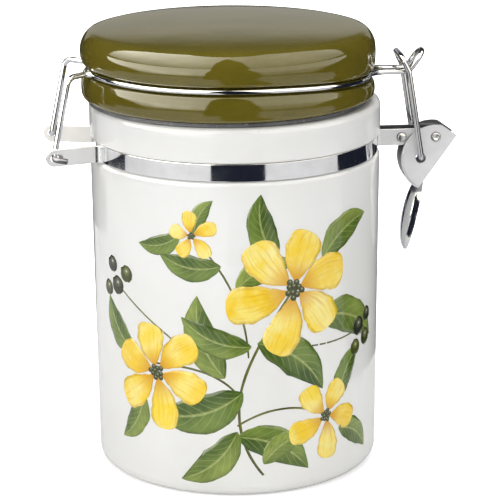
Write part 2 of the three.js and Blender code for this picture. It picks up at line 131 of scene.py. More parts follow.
def smooth_line(points, parts):
    """A soft curve through points: each gap gets a number of parts."""
    p = np.array(points, float)
    ends = np.vstack([2 * p[0] - p[1], p, 2 * p[-1] - p[-2]])
    line = []
    for a, b, c, d in zip(ends, ends[1:], ends[2:], ends[3:]):
        for t in np.arange(parts) / parts:
            line.append(0.5 * (2 * b + (c - a) * t + (2 * a - 5 * b + 4 * c - d) * t * t
                               + (3 * b - a - 3 * c + d) * t ** 3))
    return line + [p[-1]]


def bent_line(corners):
    """A route through corner points, each with its bend radius; 0 keeps the corner."""
    line = []
    for i, (corner, bend) in enumerate(corners):
        corner = Vector(corner)
        if not bend:
            line.append(corner)
            continue
        before = (Vector(corners[i - 1][0]) - corner).normalized()
        after = (Vector(corners[i + 1][0]) - corner).normalized()
        half = before.angle(after) / 2
        centre = corner + (before + after).normalized() * (bend / math.sin(half))
        start = corner + before * (bend / math.tan(half)) - centre
        end = corner + after * (bend / math.tan(half)) - centre
        sweep = start.angle(end)
        axis = start.cross(end).normalized()
        count = math.ceil(math.degrees(sweep) / BEND_STEP)
        for k in range(count + 1):
            line.append(Matrix.Rotation(sweep * k / count, 3, axis) @ start + centre)
    return line


class Field:
    """A value in a node tree, so that formulas for it read like plain arithmetic."""

    def __init__(self, tree, socket):
        self.tree = tree
        self.socket = socket

    def math(self, operation, *others, clamp=False):
        values = dict(enumerate((self, *others)))
        return put(self.tree, "Math", values, operation=operation, use_clamp=clamp)

    __add__ = partialmethod(math, "ADD")
    __sub__ = partialmethod(math, "SUBTRACT")
    __mul__ = partialmethod(math, "MULTIPLY")
    __truediv__ = partialmethod(math, "DIVIDE")
    __pow__ = partialmethod(math, "POWER")
    __abs__ = partialmethod(math, "ABSOLUTE")

    def flipped(self):
        return self * -1.0 + 1.0

    def ramp(self, low, high, top=1.0, bottom=0.0):
        values = dict(enumerate((self, low, high, bottom, top)))
        return put(self.tree, "MapRange", values, interpolation_type="SMOOTHSTEP")


def feed(tree, slot, value):
    if isinstance(value, Field):
        tree.links.new(value.socket, slot)
    else:
        slot.default_value = value


def put(tree, kind, inputs=None, out=0, family="ShaderNode", **settings):
    """Adds a node with its settings and inputs, and hands back one of its outputs."""
    node = tree.nodes.new(family + kind)
    for key, value in settings.items():
        setattr(node, key, value)
    for key, value in (inputs or {}).items():
        feed(tree, node.inputs[key], value)
    return Field(tree, node.outputs[out])


geo = partial(put, family="GeometryNode")


def parts_of(vector):
    node = vector.tree.nodes.new("ShaderNodeSeparateXYZ")
    feed(vector.tree, node.inputs[0], vector)
    return [Field(vector.tree, out) for out in node.outputs]


def vector_of(tree, x, y, z):
    return put(tree, "CombineXYZ", {0: x, 1: y, 2: z})


# Geometry Nodes trees

def new_tree(name, inputs):
    tree = bpy.data.node_groups.new(name, "GeometryNodeTree")
    for label, kind in (("Geometry", "Geometry"), *inputs):
        tree.interface.new_socket(label, in_out="INPUT", socket_type="NodeSocket" + kind)
    tree.interface.new_socket("Geometry", in_out="OUTPUT", socket_type="NodeSocketGeometry")
    start = tree.nodes.new("NodeGroupInput")
    return tree, {out.name: Field(tree, out) for out in start.outputs if out.name}


def close_tree(tree, geometry, material):
    smooth = geo(tree, "SetShadeSmooth", {"Geometry": geometry})
    dressed = geo(tree, "SetMaterial", {"Geometry": smooth, "Material": material})
    end = tree.nodes.new("NodeGroupOutput")
    feed(tree, end.inputs[0], dressed)


def turning_tree():
    """Turns a half profile, given as points (radius, 0, height), round the Z axis."""
    tree, given = new_tree("turn_profile", [
        ("Steps", "Int"), ("Centre X", "Float"), ("Material", "Material")])
    count = geo(tree, "AttributeDomainSize", {"Geometry": given["Geometry"]})
    sheet = geo(tree, "MeshGrid", {
        "Size X": 1.0, "Size Y": 1.0, "Vertices X": given["Steps"] + 1.0, "Vertices Y": count})
    x, y, _ = parts_of(geo(tree, "InputPosition"))
    row = ((y + 0.5) * (count - 1.0)).math("ROUND")
    profile = geo(tree, "SampleIndex", {
        "Geometry": given["Geometry"], "Value": geo(tree, "InputPosition"), "Index": row},
        data_type="FLOAT_VECTOR", domain="POINT")
    radius, _, height = parts_of(profile)
    angle = (x + 0.5) * (2 * math.pi)
    across = radius * angle.math("COSINE") + given["Centre X"]
    place = vector_of(tree, across, radius * angle.math("SINE"), height)
    turned = geo(tree, "SetPosition", {"Geometry": sheet, "Position": place})
    closed = geo(tree, "MergeByDistance", {"Geometry": turned, "Distance": 1e-6})
    close_tree(tree, closed, given["Material"])
    return tree


def wire_tree():
    """Runs a round wire along a line of points; the point attribute girth shapes the wire's ends."""
    tree, given = new_tree("draw_wire", [("Diameter", "Float"), ("Sides", "Int"), ("Material", "Material")])
    path = geo(tree, "MeshToCurve", {"Mesh": given["Geometry"]})
    section = geo(tree, "CurvePrimitiveCircle", {
        "Resolution": given["Sides"], "Radius": given["Diameter"] * 0.5})
    girth = geo(tree, "InputNamedAttribute", {"Name": "girth"}, data_type="FLOAT")
    tube = geo(tree, "CurveToMesh", {
        "Curve": path, "Profile Curve": section, "Scale": girth, "Fill Caps": True})
    close_tree(tree, tube, given["Material"])
    return tree


def print_tree():
    """Lays soft-edged strokes on the jar's wall: each point is one stroke with a bent middle line."""
    tree, given = new_tree("wrap_print", [
        ("Wall radius", "Float"), ("Wall height", "Float"), ("Wall draft", "Float"), ("Lift", "Float"),
        ("Along", "Int"), ("Across", "Int"), ("Material", "Material")])
    sheet = geo(tree, "MeshGrid", {
        "Size X": 1.0, "Size Y": 1.0, "Vertices X": given["Along"], "Vertices Y": given["Across"]})
    flat_x, flat_y, _ = parts_of(geo(tree, "InputPosition"))
    along = ((flat_x + 0.5) * math.pi).math("COSINE") * -0.5 + 0.5
    stroke = geo(tree, "StoreNamedAttribute", {
        "Geometry": sheet, "Name": "stroke", "Value": vector_of(tree, along, flat_y * 2.0, 0.0)},
        data_type="FLOAT_VECTOR", domain="POINT")
    laid = geo(tree, "InstanceOnPoints", {"Points": given["Geometry"], "Instance": stroke})
    real = geo(tree, "RealizeInstances", {"Geometry": laid})

    def attribute(name, kind):
        return geo(tree, "InputNamedAttribute", {"Name": name}, data_type=kind)

    t, s, _ = parts_of(attribute("stroke", "FLOAT_VECTOR"))
    start, bend, end = (parts_of(attribute(name, "FLOAT_VECTOR")) for name in ("start", "bend", "end"))
    rest = t.flipped()
    middle, slope = [], []
    for a, b, c in zip(start[:2], bend[:2], end[:2]):
        middle.append(a * rest * rest + b * rest * t * 2.0 + c * t * t)
        slope.append((b - a) * rest + (c - b) * t)
    size = (slope[0] * slope[0] + slope[1] * slope[1] + 1e-12).math("SQRT")
    tiny = 1e-5
    swell = (t + tiny) ** attribute("root", "FLOAT") * abs(rest + tiny) ** attribute("tip", "FLOAT")
    ripple = noise(vector_of(tree, t * 5.0, s.math("SIGN") * 3.0, start[2] * 900.0), 1.0, 1.0)
    half = swell * attribute("breadth", "FLOAT") * (ripple * 0.5 + 0.75)
    across = middle[0] - slope[1] / size * s * half
    height = middle[1] + slope[0] / size * s * half
    angle = across / given["Wall radius"]
    radius = given["Wall radius"] - (given["Wall height"] - height) * given["Wall draft"]
    radius = radius + given["Lift"] * (start[2] * 1000.0 + 1.0)
    place = vector_of(tree, radius * angle.math("SINE"), radius * angle.math("COSINE") * -1.0, height)
    wrapped = geo(tree, "SetPosition", {"Geometry": real, "Position": place})
    merged = geo(tree, "MergeByDistance", {"Geometry": wrapped, "Distance": 1e-7})
    close_tree(tree, merged, given["Material"])
    return tree


def plain_mesh(obj):
    """The object's mesh with its modifiers worked in, and the modifiers gone."""
    depsgraph = bpy.context.evaluated_depsgraph_get()
    made = bpy.data.meshes.new_from_object(
        obj.evaluated_get(depsgraph), preserve_all_data_layers=True, depsgraph=depsgraph)
    obj.modifiers.clear()
    obj.data = made
    made.name = obj.name
    return obj


def new_piece(name, points, edges=(), faces=(), attributes=None):
    mesh = bpy.data.meshes.new(name)
    mesh.from_pydata([tuple(c * MM for c in p) for p in points], edges, faces)
    for label, values in (attributes or {}).items():
        kind = "FLOAT" if np.ndim(values) == 1 else "FLOAT_VECTOR"
        data = mesh.attributes.new(label, kind, "POINT").data
        data.foreach_set("value" if kind == "FLOAT" else "vector", np.array(values, float).ravel())
    obj = bpy.data.objects.new(name, mesh)
    scene.collection.objects.link(obj)
    return obj


def quads(rows, cols, closed=False):
    """Faces of a grid of points given row by row; a closed grid joins its last column to its first."""
    steps = [(k, (k + 1) % cols) for k in range(cols if closed else cols - 1)]
    return [(a + j, a + k, a + cols + k, a + cols + j)
            for a in range(0, (rows - 1) * cols, cols) for j, k in steps]


def tube_faces(rows, cols):
    """Faces of a closed grid and of its two flat ends."""
    last = (rows - 1) * cols
    return quads(rows, cols, True) + [tuple(range(cols - 1, -1, -1)), tuple(range(last, last + cols))]


def grown(obj, tree, **values):
    """Runs a tree on an object and keeps the result as a plain mesh."""
    modifier = obj.modifiers.new("grow", "NODES")
    modifier.node_group = tree
    for item in tree.interface.items_tree:
        key = item.name.lower().replace(" ", "_")
        if item.in_out == "INPUT" and key in values:
            modifier[item.identifier] = values[key]
    return plain_mesh(obj)


def edited(obj, work):
    mesh = bmesh.new()
    mesh.from_mesh(obj.data)
    work(mesh)
    mesh.to_mesh(obj.data)
    mesh.free()
    return obj


def face_out(obj):
    return edited(obj, lambda mesh: bmesh.ops.recalc_face_normals(mesh, faces=mesh.faces))


def worked(obj, kind, **settings):
    """Puts one modifier on an object and works it in."""
    modifier = obj.modifiers.new(kind.lower(), kind)
    for key, value in settings.items():
        setattr(modifier, key, value)
    return plain_mesh(obj)


def keep_creases(obj, degrees=38):
    obj.data.set_sharp_from_angle(angle=math.radians(degrees))
    return obj


# Finishes
GLAZE_IOR = 1.52


def new_finish(name, stretch=None):
    """A material, and the place on its piece, which may be stretched."""
    material = bpy.data.materials.new(name)
    material.use_nodes = True
    return material, place_on(material.node_tree, stretch)


def place_on(tree, stretch=None):
    where = put(tree, "TexCoord", out=3)
    return put(tree, "Mapping", {"Vector": where, "Scale": stretch}) if stretch else where


def noise(where, scale, detail=3.0, rough=0.5):
    return put(where.tree, "TexNoise", {
        "Vector": where, "Scale": scale, "Detail": detail, "Roughness": rough})


def blend(share, first, second):
    first, second = (c if isinstance(c, Field) else (*c, 1) for c in (first, second))
    return put(share.tree, "Mix", {0: share, 6: first, 7: second}, out=2, data_type="RGBA")


def bump(height, depth):
    return put(height.tree, "Bump", {"Height": height, "Distance": depth, "Strength": 1.0})


def span(a, b):
    return (a * a + b * b).math("SQRT")


def past(value, edge, soft):
    """0 below an edge and 1 above it, with a soft step; the edge is in millimetres."""
    return value.ramp((edge - soft) * MM, (edge + soft) * MM)


def scaled(colour, share):
    return tuple(c * share for c in colour)


def dress(material, colour, rough, **others):
    """Fills a finish's sockets. What is the same all over goes straight to the socket."""
    tree = material.node_tree
    sockets = tree.nodes["Principled BSDF"].inputs
    for name, value in {"Base_Color": colour, "Roughness": rough, **others}.items():
        feed(tree, sockets[name.replace("_", " ")], value)
    return material


def flecks(where, cell, size, patch, spread):
    """Small grains in a glaze, in patches."""
    grain = put(where.tree, "TexVoronoi", {"Vector": where, "Scale": cell})
    return grain.ramp(*size).flipped() * noise(where, patch).ramp(*spread)


def glaze_relief(where):
    """Slow waves and fine dimples of a fired glaze."""
    return noise(where, 90.0, 2.0) * 0.8 + noise(where, 900.0, 2.0) * 0.06


def white_glaze():
    material, where = new_finish("white_glaze")
    x, y, z = parts_of(where)
    body = blend(noise(where, 22.0, 4.0).ramp(0.32, 0.7), (0.775, 0.773, 0.752), (0.825, 0.823, 0.808))
    speck = flecks(where, 260.0, (0.05, 0.09), 70.0, (0.62, 0.7)) * 0.35
    body = blend(speck, body, (0.42, 0.38, 0.31))
    rim = past(z, RIM_Z - 0.65, 0.85) * noise(where, 160.0).ramp(0.35, 0.75) * 0.3
    body = blend(rim, body, (0.66, 0.62, 0.54))
    around = span(x, y)
    inner, outer = 38.85, 44.2
    foot = past(z, 0.25, 0.15).flipped() * past(around, inner, 0.35) * past(around, outer, 0.4).flipped()
    grit = noise(where, 1400.0).ramp(0.3, 0.7)
    body = blend(foot, body, blend(grit, (0.60, 0.54, 0.45), (0.72, 0.67, 0.58)))
    gloss = noise(where, 60.0).ramp(0.3, 0.7, 0.10, 0.055)
    return dress(material, body, gloss + foot * 0.6, IOR=GLAZE_IOR, Normal=bump(glaze_relief(where), 0.00004))


def olive_glaze():
    material, where = new_finish("olive_glaze")
    cloud = noise(where, 38.0, 5.0, 0.6).ramp(0.3, 0.72)
    body = blend(cloud, (0.098, 0.080, 0.0070), (0.124, 0.099, 0.0105))
    mottle = noise(where, 420.0).ramp(0.35, 0.75) * 0.22
    body = blend(mottle, body, (0.150, 0.117, 0.016))
    speck = flecks(where, 330.0, (0.06, 0.11), 90.0, (0.6, 0.68)) * 0.5
    body = blend(speck, body, (0.045, 0.034, 0.006))
    thin = past(parts_of(where)[2], LID_Z + 0.7, 0.6).flipped() * noise(where, 240.0).ramp(0.35, 0.7) * 0.35
    body = blend(thin, body, (0.21, 0.165, 0.05))
    gloss = noise(where, 70.0).ramp(0.3, 0.7, 0.085, 0.045)
    return dress(material, body, gloss, IOR=1.58, Normal=bump(glaze_relief(where), 0.00005))


SATIN_GREY = (0.90, 0.90, 0.92)
SATIN_ROUGH = 0.14
SATIN_HAZE = 0.42
# Darker steel: painted shade in the lever's channel and the strap's insides, dirt and painted shade at the
# rivets' feet
DARK_STEEL_GREY = (0.15, 0.15, 0.17)
RAW_ROUGH = 0.30


def steel(name, tone, shine, grain, lines, relief, dull=None, dark_steel_share=None):
    """Bright steel: tone is its grey, shine its two roughness limits, lines the stretch of its polishing
    marks and relief their depth. dull and the last argument give the shares of satin and of darker steel at a
    place: painted shade on the lever's web and channel and on the strap's inner sides, dirt and painted shade
    at the rivets' feet, and a darker tone at the wire's hook ends. The latch's satin is hazy too."""
    material, where = new_finish(name)
    marks = noise(place_on(where.tree, lines), grain, 3.0, 0.6)
    haze = noise(where, 180.0).ramp(0.3, 0.75)
    worn = blend(haze, tone, scaled(tone, 0.9))
    body = blend(marks.ramp(0.3, 0.8) * 0.25, worn, scaled(tone, 0.72))
    scuff = noise(where, 700.0, 2.0).ramp(0.62, 0.75) * (shine[1] * 0.5)
    rough = marks.ramp(0.2, 0.8, shine[1], shine[0]) + haze * (shine[1] * 0.4) + scuff
    x, y, z = parts_of(where)
    for share, grey, more in ((dull, SATIN_GREY, SATIN_ROUGH), (dark_steel_share, DARK_STEEL_GREY, RAW_ROUGH)):
        if share:
            part = share(x, y, z)
            body = blend(part, body, blend(haze, grey, scaled(grey, 0.93)))
            rough = rough + part * more
    metal = (dull(x, y, z) * x.ramp(-0.01, 0.01, SATIN_HAZE)).flipped() if dull else 1.0
    return dress(material, body, rough, Metallic=metal, Normal=bump(marks, relief))


def bent_out(x, y, z):
    """The strap's ears and arms, which stand away from the neck; the arms' inner sides stay as rolled."""
    outer = past(abs(y), ARM_Y, 0.15).math("MAXIMUM", x.ramp(0.0, 0.01).flipped())
    return past(span(x, y), STRAP_RADIUS + 0.95, 0.45) * outer


def strap_insides_shade(x, y, z):
    """Painted shade on the inner sides of the strap's arms, and a lighter painted shade on its ears' inner
    sides.
    """
    arms = past(x, STRAP_RADIUS + 2.1, 0.5) * past(abs(y), ARM_Y, 0.15).flipped()
    slant = math.tan(math.radians(EAR_SPLAY))
    inner = past(abs(y) + x * slant, EAR_Y + HINGE_X * slant, 0.2).flipped()
    ears_end, ear_share = -48.0, 0.62
    return arms + past(x, ears_end, 0.5).flipped() * inner * ear_share


def cheek_sides(x, y, z):
    """The lever's two flat sides."""
    return past(abs(y), CHEEK_OUTER - 0.25, 0.15) * past(z, TONGUE_TOP, 0.75)


def channel_shade(x, y, z):
    """Painted shade on the lever's web and on the inner sides of its channel."""
    return past(abs(y), CHEEK_OUTER - 0.55, 0.15).flipped() * past(z, TONGUE_TOP, 0.75)


def hook_ends(x, y, z):
    """The cut ends of the lid wire, below the ears."""
    hooks_x, hooks_y = -56.5, 19.7
    return past(x, hooks_x, 0.5).flipped() * past(abs(y), hooks_y, 0.5)


def rivet_feet_grime_and_shade(x, y, z):
    """The rims of the rivet heads: dirt, and painted shade at their feet."""
    tie, pivot = (span(x - at * MM, z - STRAP_Z * MM) for at in (TIE_X, PIVOT_X))
    head_rim = 1.425
    return past(tie.math("MINIMUM", pivot), head_rim, 0.125)


def gasket_rubber():
    material, where = new_finish("gasket_rubber")
    cloud = noise(where, 130.0, 4.0).ramp(0.3, 0.7)
    body = blend(cloud, (0.060, 0.062, 0.067), (0.100, 0.103, 0.107))
    dust = noise(where, 900.0, 2.0).ramp(0.6, 0.74) * 0.4
    body = blend(dust, body, (0.30, 0.30, 0.30))
    return dress(material, body, cloud * 0.18 + 0.42, Normal=bump(noise(where, 1500.0), 0.00003))


def printed(name, paint):
    """A transfer under the glaze: paint gives its colour from the stroke's own attributes."""
    material, where = new_finish(name)
    t, s, _ = parts_of(put(where.tree, "Attribute", attribute_name="stroke", out=1))
    tint = put(where.tree, "Attribute", attribute_name="tint", out=2)
    body = paint(t, s, tint, noise(where, 110.0, 5.0, 0.6), noise(where, 480.0))
    gloss = noise(where, 60.0).ramp(0.3, 0.7, 0.12, 0.07)
    return dress(material, body, gloss, IOR=GLAZE_IOR, Normal=bump(glaze_relief(where), 0.00004))


def leaf_paint(t, s, tint, wash, pool):
    dark = blend(tint, (0.030, 0.070, 0.012), (0.090, 0.150, 0.020))
    light = blend(tint, (0.150, 0.235, 0.045), (0.330, 0.400, 0.090))
    side = s.ramp(-0.5, 0.6) * 0.55 + wash.ramp(0.3, 0.7) * 0.55 - 0.1
    body = blend(side.math("ADD", 0.0, clamp=True), dark, light)
    rib = abs(s).ramp(0.03, 0.1).flipped() * t.ramp(0.9, 1.0).flipped()
    veins = (t * 8.0 - abs(s) * 2.2).math("FRACT")
    vein = abs(veins - 0.5).ramp(0.04, 0.1).flipped() * abs(s).ramp(0.95, 0.6)
    body = blend(rib * 0.6 + vein * 0.3, body, (0.42, 0.47, 0.17))
    rim = abs(s).ramp(0.8, 1.0) * pool.ramp(0.35, 0.7) * 0.7
    return blend(rim, body, (0.035, 0.060, 0.012))


def petal_paint(t, s, tint, wash, pool):
    bright = blend(tint, (0.880, 0.560, 0.012), (0.930, 0.700, 0.050))
    pale = blend(tint, (0.930, 0.760, 0.160), (0.940, 0.830, 0.330))
    body = blend(wash.ramp(0.35, 0.7), bright, pale)
    body = blend(t.ramp(0.0, 0.55).flipped() * 0.85, body, (0.620, 0.255, 0.006))
    streak = noise(vector_of(t.tree, t * 1.5, s * 9.0, tint * 20.0), 1.0, 2.0)
    body = blend(streak.ramp(0.5, 0.75) * 0.5, body, (0.700, 0.360, 0.010))
    rim = abs(s).ramp(0.75, 1.0) * pool.ramp(0.3, 0.65) * 0.65
    return blend(rim, body, (0.560, 0.300, 0.015))


def berry_paint(t, s, tint, wash, pool):
    dark = blend(tint, (0.020, 0.022, 0.018), (0.060, 0.075, 0.012))
    light = blend(tint, (0.110, 0.105, 0.085), (0.230, 0.250, 0.060))
    spot = span((t - 0.62) * 2.0, s - 0.25)
    side = spot.ramp(0.1, 0.75).flipped() + wash * 0.3 - 0.12
    body = blend(side.math("ADD", 0.0, clamp=True), dark, light)
    glint = spot.ramp(0.08, 0.2).flipped() * 0.8
    return blend(glint, body, (0.62, 0.64, 0.56))


def stem_paint(t, s, tint, wash, pool):
    body = blend(wash.ramp(0.3, 0.7), (0.075, 0.085, 0.018), (0.215, 0.225, 0.060))
    return blend(s.ramp(-0.2, 0.9) * 0.6, body, (0.050, 0.040, 0.015))


# Camera, lamps and stage
CAMERA_YAW = 6.05
CAMERA_ROLL = -0.4
CAMERA_LIFT = 15.65
CAMERA_AWAY = 800.0
FOCAL_PIXELS = 2278.3
PICTURE_PIXELS = 500
SENSOR = 36.0
AIM = (4.912, -0.521, 73.71)


def make_camera():
    lift, yaw, roll = (math.radians(a) for a in (CAMERA_LIFT, CAMERA_YAW, CAMERA_ROLL))
    turn = Matrix.Rotation(-yaw, 3, "Z")
    right = turn @ Vector((1, 0, 0))
    up = turn @ Vector((0, math.sin(lift), math.cos(lift)))
    back = turn @ Vector((0, -math.cos(lift), math.sin(lift)))
    level = right * math.cos(roll) + up * math.sin(roll)
    upright = up * math.cos(roll) - right * math.sin(roll)
    data = bpy.data.cameras.new("camera")
    data.sensor_width = SENSOR
    data.lens = SENSOR * FOCAL_PIXELS / PICTURE_PIXELS
    data.clip_start = 0.01
    data.clip_end = 50
    camera = bpy.data.objects.new("camera", data)
    camera.matrix_world = Matrix.Translation((Vector(AIM) + back * CAMERA_AWAY) * MM) @ Matrix(
        (level, upright, back)).transposed().to_4x4()
    scene.collection.objects.link(camera)
    scene.camera = camera


def bearing(degrees, away, height):
    """A place round the canister: degrees to the right of the camera, distance and height in metres."""
    a = math.radians(degrees - CAMERA_YAW)
    return Vector((math.sin(a) * away, -math.cos(a) * away, height))


def soft_box(name, degrees, away, height, size, glow):
    """A square soft lamp that faces the canister; glow is its brightness, with 1 for white."""
    data = bpy.data.lights.new(name, "AREA")
    data.shape = "SQUARE"
    data.size = size
    data.energy = glow * math.pi * size * size
    lamp = bpy.data.objects.new(name, data)
    lamp.location = bearing(degrees, away, height)
    towards = lamp.location - Vector((0, 0, LAMP_AIM))
    lamp.rotation_euler = towards.to_track_quat("Z", "Y").to_euler()
    lamp.visible_camera = False
    lamp.visible_glossy = False
    scene.collection.objects.link(lamp)


def ray_kinds(tree):
    """Marks of the rays from the camera, of the glossy rays and of the rays through something clear."""
    return [put(tree, "LightPath", out=out) for out in (0, 3, 6)]


def make_world():
    """White to the camera, in gloss a pale backdrop to just above the horizon, elsewhere a soft fill."""
    world = bpy.data.worlds.new("studio")
    scene.world = world
    world.use_nodes = True
    tree = world.node_tree
    height = parts_of(put(tree, "TexCoord"))[2]
    seen, glossy, through = ray_kinds(tree)
    plain = seen.math("MAXIMUM", through)
    backdrop = height.ramp(0.19, 0.30, BACKDROP_TOP, BACKDROP_GLOW)
    fill = plain.math("MAXIMUM", glossy).flipped() * FILL
    ground = tree.nodes["Background"]
    ground.inputs["Color"].default_value = (1, 1, 1, 1)
    feed(tree, ground.inputs["Strength"], plain.math("MAXIMUM", glossy * backdrop) + fill)


def make_floor():
    """A pale floor: white to the camera, and darker in gloss beyond the tent."""
    half, level = 3000.0, -0.1
    corners = [(x * half, y * half, level) for x, y in ((-1, -1), (1, -1), (1, 1), (-1, 1))]
    floor = new_piece("floor", corners, faces=[(0, 1, 2, 3)])
    material, where = new_finish("pale_floor")
    away = span(*parts_of(where)[:2])
    seen, glossy, through = ray_kinds(where.tree)
    white = seen.math("MAXIMUM", through) * away.ramp(0.05, 0.22, 1.0, 0.42)
    beyond = away.ramp(0.57, 0.60, 0.65, 0.16)
    cloth = blend(noise(where, 3.0).ramp(0.3, 0.7), (0.86, 0.86, 0.86), (0.88, 0.88, 0.88))
    colour = blend(glossy * beyond, cloth, (0, 0, 0))
    dress(material, colour, 0.8, Specular_IOR_Level=0.0, Emission_Color=(1, 1, 1, 1), Emission_Strength=white)
    floor.data.materials.append(material)


def tent_cloth(name, rows, glow, one_sided=False):
    """A sheet of the light tent that only shows in reflections: rows of places, and each place's brightness.
    The back of a one-sided sheet is clear."""
    points = [place * 1000 for row in rows for place in row]
    sheet = new_piece(name, points, faces=quads(len(rows), len(rows[0])), attributes={"glow": glow})
    material, where = new_finish(name, (1, 1, 0.35))
    tree = where.tree
    light = put(tree, "Attribute", attribute_name="glow", out=2)
    colour = blend(noise(where, 40.0).ramp(0.3, 0.7), DARK_CLOTH, scaled(DARK_CLOTH, 1.5))
    folds = noise(where, 5.0).ramp(0.3, 0.7, 1.08, 0.9)
    dress(material, colour, 0.9, Specular_IOR_Level=0.0, Emission_Color=WARM_WHITE,
          Emission_Strength=light * folds)
    if one_sided:
        back = put(tree, "NewGeometry", out=6)
        solid = Field(tree, tree.nodes["Principled BSDF"].outputs[0])
        clear = put(tree, "BsdfTransparent")
        mixed = put(tree, "MixShader", {0: back, 1: solid, 2: clear})
        feed(tree, tree.nodes["Material Output"].inputs[0], mixed)
    sheet.data.materials.append(material)
    for rays in ("camera", "diffuse", "shadow", "transmission"):
        setattr(sheet, "visible_" + rays, False)


def tent_wall(name, away, rows):
    """A curved wall round the lid. Each row is (height angle, first bearing, last bearing) and then its
    brightness at even steps from the first to the last, with none for a dark gap."""
    places, glow = [], []
    for lift, first, last, *light in rows:
        rise = math.radians(lift)
        turns = np.linspace(first, last, SHEET_STEPS)
        level = LID_Z * MM + away * math.sin(rise)
        places.append([bearing(t, away * math.cos(rise), level) for t in turns])
        light = light or [0.0]
        steps = np.linspace(0, len(light) - 1, SHEET_STEPS)
        glow += list(np.interp(steps, range(len(light)), light))
    tent_cloth(name, places, glow)


def lid_panel(name, rows, *light):
    """A soft panel close to the lid's side and too low for the lid's top to reflect it. Each row is (distance
    from the lid in millimetres, first bearing, last bearing); light is the brightness at its two ends."""
    places, glow = [], []
    level = (LID_TOP - PANEL_DROP) * MM
    lid_centre = Vector((LID_X * MM, 0, 0))
    for away, first, last in rows:
        turns = np.linspace(first, last, SHEET_STEPS)
        places.append([bearing(t / 2, LID_RADIUS * MM, level) + bearing(t, away * MM, 0.0) + lid_centre
                       for t in turns])
        glow += list(np.linspace(*light, SHEET_STEPS))
    tent_cloth(name, places, glow, True)


def floor_mat(name, rows, soft=False):
    """A dark mat on the floor, seen only in reflections, where it gives dark patches on the metal and glaze.
    Each row is (distance, first bearing, last bearing). A soft mat lies on top and fades to the floor's white
    at its near edge and its sides."""
    height = 0.002 if soft else 0.001
    places = [[bearing(t, away, height) for t in np.linspace(first, last, MAT_STEPS)]
              for away, first, last in rows]
    edges = (0, MAT_STEPS - 1)
    glow = [float(soft and (i == 0 or k in edges)) for i in range(len(rows)) for k in range(MAT_STEPS)]
    tent_cloth(name, places, glow)


LAMP_AIM = 0.1
DARK_CLOTH = (0.010, 0.012, 0.020)
WARM_WHITE = (1, 0.96, 0.83, 1)
BACKDROP_GLOW = 0.44
BACKDROP_TOP = 0.05
FILL = 0.22
SHEET_STEPS = 25
MAT_STEPS = 9
PANEL_DROP = 0.5
WALL_AWAY = 0.85
GAP_AWAY = 0.60
BACK_GAP_AWAY = 0.70

make_camera()
make_world()
make_floor()
for lamp_row in [
        ("left_lamp", -48.0, 0.95, 0.50, 0.90, 2.42), ("right_lamp", 40.0, 0.95, 0.54, 0.80, 1.90),
        ("top_lamp", 150.0, 0.12, 1.05, 0.80, 3.7), ("back_lamp", 178.0, 1.00, 0.45, 0.80, 1.3)]:
    soft_box(*lamp_row)
tent_wall("left_wall_low", WALL_AWAY, [
    (-9, -64, 4, 1.8, 3.4, 2.4, 1.6), (-5, -73, 4, 3.0, 5.6, 3.8, 2.0),
    (-1, -82, 4, 3.6, 6.6, 4.5, 2.4), (1.5, -88, 4, 5.6, 7.0, 5.0, 2.7)])
tent_wall("left_wall", WALL_AWAY, [
    (19, -106, 4, 2.0, 1.6), (33, -110, 4, 6.4, 3.0), (42, -111, 4, 8.8, 3.5), (58, -108, 4, 9.2, 3.6),
    (74, -98, 4, 9.2, 3.6)])
lid_panel("left_shelf", [
    (11, -107, -11.6), (22.5, -105, -12.3), (45, -101, -13.8), (100, -96.5, -14.7), (235, -93.5, -15.4),
    (800, -91.5, -15.6)], 8.2, 3.8)
tent_wall("right_wall_low", WALL_AWAY, [(-9, 66, 4, 1.1, 1.1), (-3, 78, 4, 1.4, 1.3), (1.5, 88, 4, 2.2, 1.8)])
tent_wall("right_wall", WALL_AWAY, [
    (19, 103, 4, 1.6, 1.4), (33, 108, 4, 2.6, 2.1), (42, 109, 4, 3.0, 2.4), (58, 106, 4, 3.0, 2.8),
    (74, 96, 4, 3.0, 3.2)])
lid_panel("right_shelf", [
    (11, 15.4, 106), (22.5, 16.7, 104), (45, 19.5, 100), (100, 21.3, 96), (235, 22.3, 94.5), (800, 22.6, 93)],
    2.1, 2.6)
tent_wall("front_gap", GAP_AWAY, [
    (-13, -17, 26), (1, -15.5, 22.6), (24, -12, 16), (42, -10, 12.5), (54, -6, 5), (59, -3, 3),
    (61, -1.5, 1.5)])
tent_wall("left_gap", GAP_AWAY, [
    (-13, -150, -60), (1, -150, -87), (9, -150, -100), (18, -150, -107), (26, -150, -116)])
tent_wall("right_gap", GAP_AWAY, [(-13, 62, 150), (1, 87, 150), (9, 99, 150), (18, 104, 150), (26, 113, 150)])
tent_wall("back_gap", BACK_GAP_AWAY, [(-9, 118, 234), (-3, 118, 234), (4, 118, 234)])
floor_mat("tongue_mat", [
    (0.085, -8, 50), (0.10, -8, 46), (0.20, -8, 34), (0.30, -8, 27), (0.37, -8, 24), (0.445, -8, 22)], True)
for mat, left, right, near, far in [
        ("front_mat", -18, 23, 0.44, 0.66), ("left_mat", -150, -94, 0.48, 0.70),
        ("left_shade", -150, -118, 0.33, 0.48), ("right_mat", 86, 146, 0.48, 0.70),
        ("right_shade", 88, 146, 0.13, 0.48), ("back_mat_right", 146, 166, 0.09, 0.72),
        ("back_mat_left", 194, 210, 0.09, 0.72)]:
    floor_mat(mat, [(near, left, right), (far, left, right)])

# The parts

turn_profile = turning_tree()
draw_wire = wire_tree()
wrap_print = print_tree()

